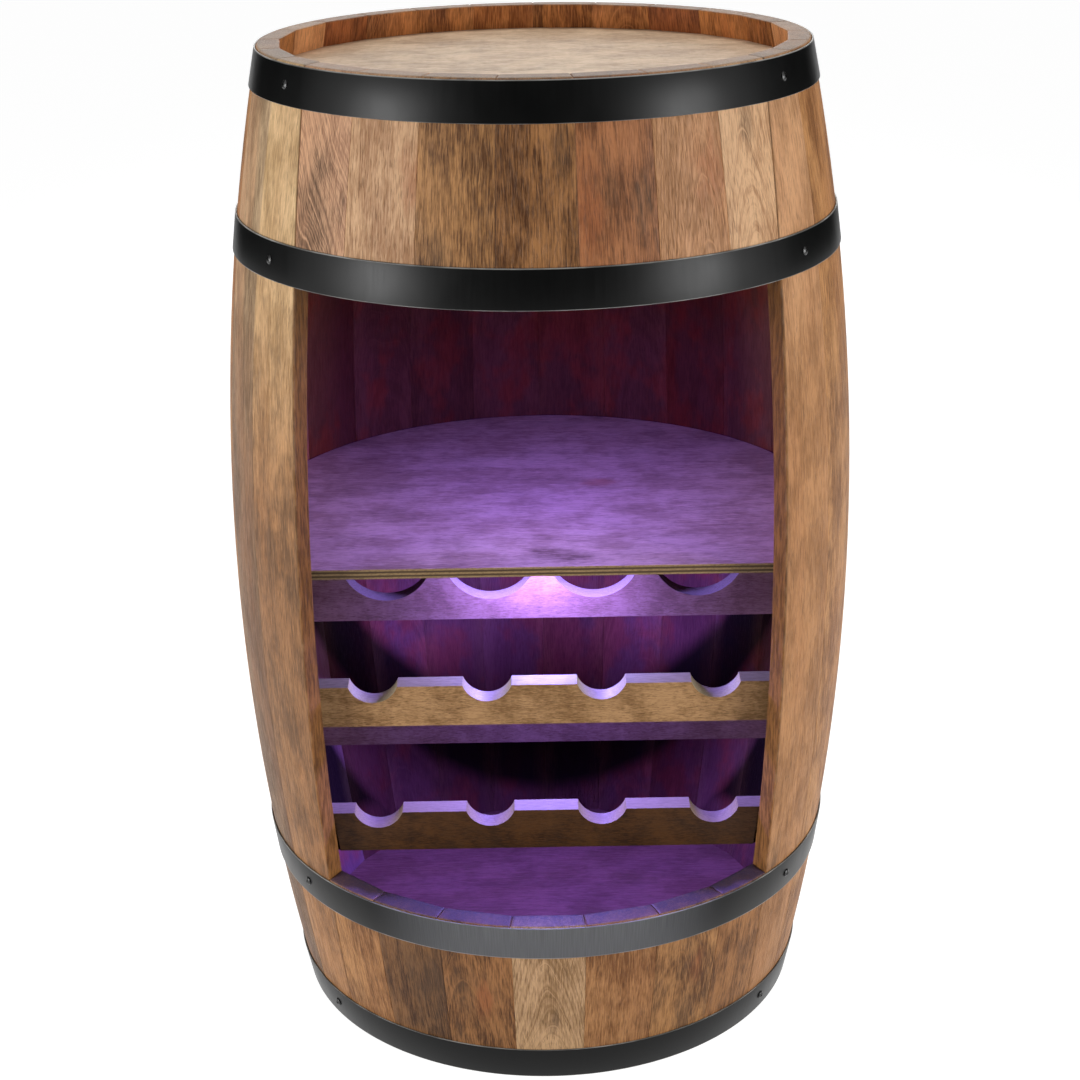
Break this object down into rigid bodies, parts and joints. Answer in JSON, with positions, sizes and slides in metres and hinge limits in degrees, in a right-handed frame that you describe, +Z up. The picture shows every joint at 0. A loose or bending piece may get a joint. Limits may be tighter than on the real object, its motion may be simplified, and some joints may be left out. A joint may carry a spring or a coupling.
{
  "type": "barrel bar cabinet",
  "caption": "Upright hooped wooden barrel with a front opening: display shelf above, notched bottle rails below, push lights inside and a recessed head as a table top.",
  "frame": {"origin": "on the barrel's axis, at the floor", "axes": "+Z up along the barrel, -Y out of the front opening, +X to the right seen from the front"},
  "size_m": [0.508, 0.4935, 0.8],
  "materials": {
    "stave_wood": "brown stained hardwood, matt oiled",
    "head_wood": "tan stained board, matt",
    "floor_wood": "brown stained board, matt",
    "shelf_plywood": "stained plywood with bare edge",
    "rail_wood": "brown stained hardwood, matt",
    "hoop_steel": "satin black paint over steel strip",
    "black_screw": "black oxide, satin",
    "hoop_rivet": "satin black paint",
    "pin_steel": "plain steel",
    "zinc_screw": "zinc plated",
    "foam_pad": "soft white foam",
    "light_housing": "white moulded plastic",
    "lamp_board": "white solder resist",
    "battery_jacket": "plain dark jacket",
    "light_lens": "frosted diffuser"
  },
  "bodies": {
    "cabinet": {"stave_left_1": "stave_wood", "stave_left_2": "stave_wood", "stave_left_3": "stave_wood", "stave_left_4": "stave_wood", "stave_left_5": "stave_wood", "stave_left_6": "stave_wood", "stave_left_7": "stave_wood", "stave_left_8": "stave_wood", "stave_left_9": "stave_wood", "stave_right_1": "stave_wood", "stave_right_2": "stave_wood", "stave_right_3": "stave_wood", "stave_right_4": "stave_wood", "stave_right_5": "stave_wood", "stave_right_6": "stave_wood", "stave_right_7": "stave_wood", "stave_right_8": "stave_wood", "stave_right_9": "stave_wood", "upper_stave_1": "stave_wood", "upper_stave_2": "stave_wood", "upper_stave_3": "stave_wood", "upper_stave_4": "stave_wood", "upper_stave_5": "stave_wood", "upper_stave_6": "stave_wood", "upper_stave_7": "stave_wood", "lower_stave_1": "stave_wood", "lower_stave_2": "stave_wood", "lower_stave_3": "stave_wood", "lower_stave_4": "stave_wood", "lower_stave_5": "stave_wood", "lower_stave_6": "stave_wood", "lower_stave_7": "stave_wood", "bottom_hoop": "hoop_steel", "lower_hoop": "hoop_steel", "upper_hoop": "hoop_steel", "top_hoop": "hoop_steel", "hoop_screws": "black_screw", "hoop_rivets": "hoop_rivet", "top_head": "head_wood", "bottom_head": "floor_wood", "shelf": "shelf_plywood", "shelf_pins": "pin_steel", "rail_screws": "zinc_screw", "upper_neck_rail": "rail_wood", "lower_neck_rail": "rail_wood", "upper_body_rail": "rail_wood", "lower_body_rail": "rail_wood", "shelf_light_pad": "foam_pad", "shelf_light_base": "light_housing", "shelf_light_cover": "light_housing", "shelf_light_board": "lamp_board", "shelf_light_batteries": "battery_jacket", "head_light_pad": "foam_pad", "head_light_base": "light_housing", "head_light_cover": "light_housing", "head_light_board": "lamp_board", "head_light_batteries": "battery_jacket"},
    "shelf_light_button": {"shelf_light_lens": "light_lens"},
    "head_light_button": {"head_light_lens": "light_lens"}
  },
  "joints": [
    {"name": "shelf_light_press", "type": "slide", "parent": "cabinet", "child": "shelf_light_button", "axis": [0, 0, 1], "range_m": [0, 0.0015], "stiffness_N_per_m": 1500, "springref_m": -0.0005},
    {"name": "head_light_press", "type": "slide", "parent": "cabinet", "child": "head_light_button", "axis": [0, 0, 1], "range_m": [0, 0.0015], "stiffness_N_per_m": 1500, "springref_m": -0.0005}
  ]
}
